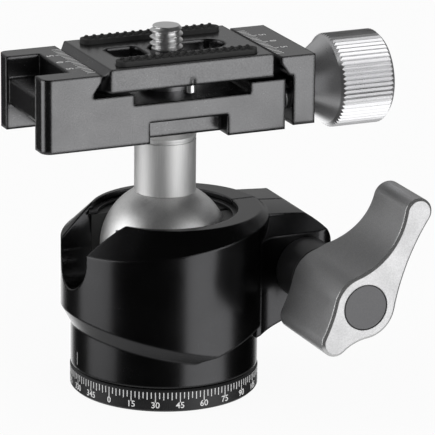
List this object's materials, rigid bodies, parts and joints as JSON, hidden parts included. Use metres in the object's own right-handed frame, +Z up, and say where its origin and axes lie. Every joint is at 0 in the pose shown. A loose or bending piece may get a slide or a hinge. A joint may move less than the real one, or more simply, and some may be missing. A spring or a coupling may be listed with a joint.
{
  "type": "tripod ball head",
  "caption": "Compact tripod ball head: split housing with drop notch and lever knob, turning base, quick-release dovetail clamp with plate and camera screw.",
  "frame": {"origin": "centre of the base's bottom face, on the tripod thread's axis", "axes": "+Z up along the pan axis, +X along the clamp towards the clamp knob, the lever knob points to -Y and the drop notch faces -X"},
  "size_m": [0.0741, 0.0601, 0.0714],
  "materials": {
    "base_ring": "black anodised",
    "pan_axle": "machined steel",
    "pan_washer": "smooth",
    "wave_washer": "spring steel",
    "pan_ring_nut": "machined steel",
    "housing": "satin black anodised",
    "ball_race": "matt",
    "race_circlip": "blackened spring steel",
    "lock_thread_bush": "machined steel",
    "lock_collar": "black anodised",
    "lock_washer": "smooth",
    "lock_spindle": "machined steel",
    "lock_knob": "bead-blasted grey anodised",
    "knob_cap": "satin dark grey",
    "knob_screw": "machined steel",
    "ball": "satin turned",
    "neck": "satin turned",
    "neck_collar": "satin turned",
    "neck_bolt": "machined steel",
    "clamp_body": "black anodised",
    "clamp_jaw": "black anodised",
    "guide_pins": "ground steel",
    "jaw_springs": "spring wire",
    "clamp_screw": "machined steel",
    "clamp_washer": "smooth",
    "clamp_knob": "grey anodised, fluted",
    "plate": "black anodised",
    "rubber_pads": "matt rubber",
    "stop_screws": "machined steel",
    "camera_screw": "machined stainless steel",
    "camera_washer": "stainless steel"
  },
  "bodies": {
    "base": {"base_ring": "base_ring", "pan_axle": "pan_axle", "pan_washer": "pan_washer", "wave_washer": "wave_washer", "pan_ring_nut": "pan_ring_nut"},
    "turning_body": {"housing": "housing", "ball_race": "ball_race", "race_circlip": "race_circlip", "lock_thread_bush": "lock_thread_bush"},
    "lock_thrust": {"lock_collar": "lock_collar", "lock_washer": "lock_washer"},
    "lock_lever": {"lock_spindle": "lock_spindle", "lock_knob": "lock_knob", "knob_cap": "knob_cap", "knob_screw": "knob_screw"},
    "ball": {"ball": "ball"},
    "neck": {"neck": "neck", "neck_collar": "neck_collar", "neck_bolt": "neck_bolt"},
    "clamp": {"clamp_body": "clamp_body", "jaw_springs": "jaw_springs"},
    "jaw": {"clamp_jaw": "clamp_jaw", "guide_pins": "guide_pins", "clamp_washer": "clamp_washer"},
    "clamp_knob": {"clamp_knob": "clamp_knob", "clamp_screw": "clamp_screw"},
    "plate": {"plate": "plate", "rubber_pads": "rubber_pads", "stop_screws": "stop_screws"},
    "screw_washer": {"camera_washer": "camera_washer"},
    "camera_screw": {"camera_screw": "camera_screw"}
  },
  "joints": [
    {"name": "pan", "type": "hinge", "parent": "base", "child": "turning_body", "pos_m": [0, 0, 0.0088], "axis": [0, 0, 1], "continuous": true},
    {"name": "ball_roll", "type": "hinge", "parent": "turning_body", "child": "ball", "pos_m": [0, 0, 0.0278], "axis": [1, 0, 0], "range_deg": [-24, 24]},
    {"name": "ball_tilt", "type": "hinge", "parent": "ball", "child": "neck", "pos_m": [0, 0, 0.0278], "axis": [0, -1, 0], "range_deg": [-24, 90]},
    {"name": "ball_spin", "type": "hinge", "parent": "neck", "child": "clamp", "pos_m": [0, 0, 0.0278], "axis": [0, 0, 1], "continuous": true},
    {"name": "lock_advance", "type": "slide", "parent": "turning_body", "child": "lock_thrust", "axis": [0, -1, 0], "range_m": [0, 0.0015]},
    {"name": "lock_turn", "type": "hinge", "parent": "lock_thrust", "child": "lock_lever", "pos_m": [0.0236, 0, 0.0243], "axis": [0, -1, 0], "range_deg": [0, 540]},
    {"name": "jaw_slide", "type": "slide", "parent": "clamp", "child": "jaw", "axis": [1, 0, 0], "range_m": [0, 0.0024]},
    {"name": "clamp_knob_turn", "type": "hinge", "parent": "jaw", "child": "clamp_knob", "pos_m": [0, 0, 0.0572], "axis": [1, 0, 0], "range_deg": [0, 1080]},
    {"name": "plate_slide", "type": "slide", "parent": "clamp", "child": "plate", "axis": [0, 1, 0], "range_m": [-0.004, 0.0046]},
    {"name": "screw_slide", "type": "slide", "parent": "plate", "child": "screw_washer", "axis": [1, 0, 0], "range_m": [0, 0.0084]},
    {"name": "camera_screw_turn", "type": "hinge", "parent": "screw_washer", "child": "camera_screw", "pos_m": [0, -0.0002, 0.065], "axis": [0, 0, 1], "continuous": true}
  ],
  "couplings": [
    {"joint": "lock_advance", "follows": "lock_turn", "m_per_rad": 0.00015915},
    {"joint": "jaw_slide", "follows": "clamp_knob_turn", "m_per_rad": 0.00012732}
  ]
}
